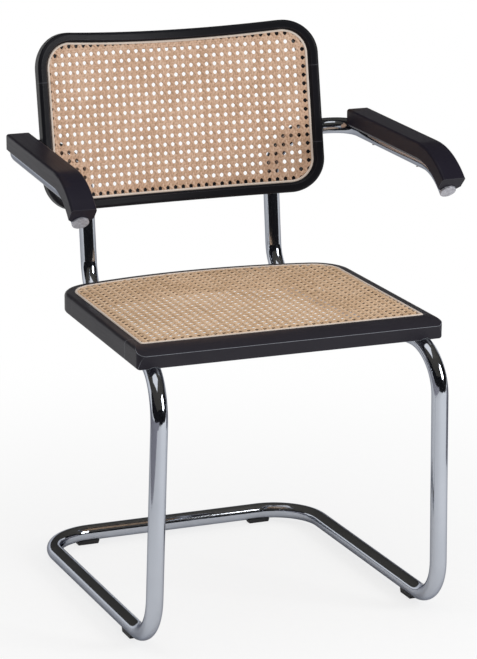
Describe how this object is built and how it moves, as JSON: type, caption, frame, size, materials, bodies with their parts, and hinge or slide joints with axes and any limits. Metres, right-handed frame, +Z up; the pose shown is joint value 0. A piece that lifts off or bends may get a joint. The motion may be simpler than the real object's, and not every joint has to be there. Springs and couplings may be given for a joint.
{
  "type": "cantilever armchair",
  "caption": "Cantilever armchair: bent chromed steel tube frame, black wooden seat and back frames with woven cane panels, and black wooden arm pads.",
  "frame": {"origin": "on the floor, under the middle of the chair's bounding box", "axes": "+Z up, the sitter faces -Y, +X to the right of someone who looks at the chair from its front"},
  "size_m": [0.612, 0.5507, 0.8282],
  "materials": {
    "chrome_tube": "polished",
    "black_wood": "satin stain",
    "cane": "natural, unvarnished",
    "reed_spline": "natural, smooth",
    "glide_plastic": "matte",
    "cap_plastic": "smooth",
    "screw_steel": "plain"
  },
  "bodies": {
    "root": {"frame_tube_right": "chrome_tube", "frame_tube_left": "chrome_tube", "frame_sleeve": "chrome_tube", "seat_front_rail": "black_wood", "seat_rear_rail": "black_wood", "seat_side_rail_right": "black_wood", "seat_side_rail_left": "black_wood", "back_top_rail": "black_wood", "back_bottom_rail": "black_wood", "back_stile_right": "black_wood", "back_stile_left": "black_wood", "arm_pad_right": "black_wood", "arm_pad_left": "black_wood", "seat_cane": "cane", "back_cane": "cane", "seat_spline": "reed_spline", "back_spline": "reed_spline", "glide_front_right": "glide_plastic", "glide_front_left": "glide_plastic", "glide_rear_right": "glide_plastic", "glide_rear_left": "glide_plastic", "end_cap_right": "cap_plastic", "end_cap_left": "cap_plastic", "seat_screws": "screw_steel", "back_screws": "screw_steel", "arm_screws": "screw_steel"}
  },
  "joints": []
}
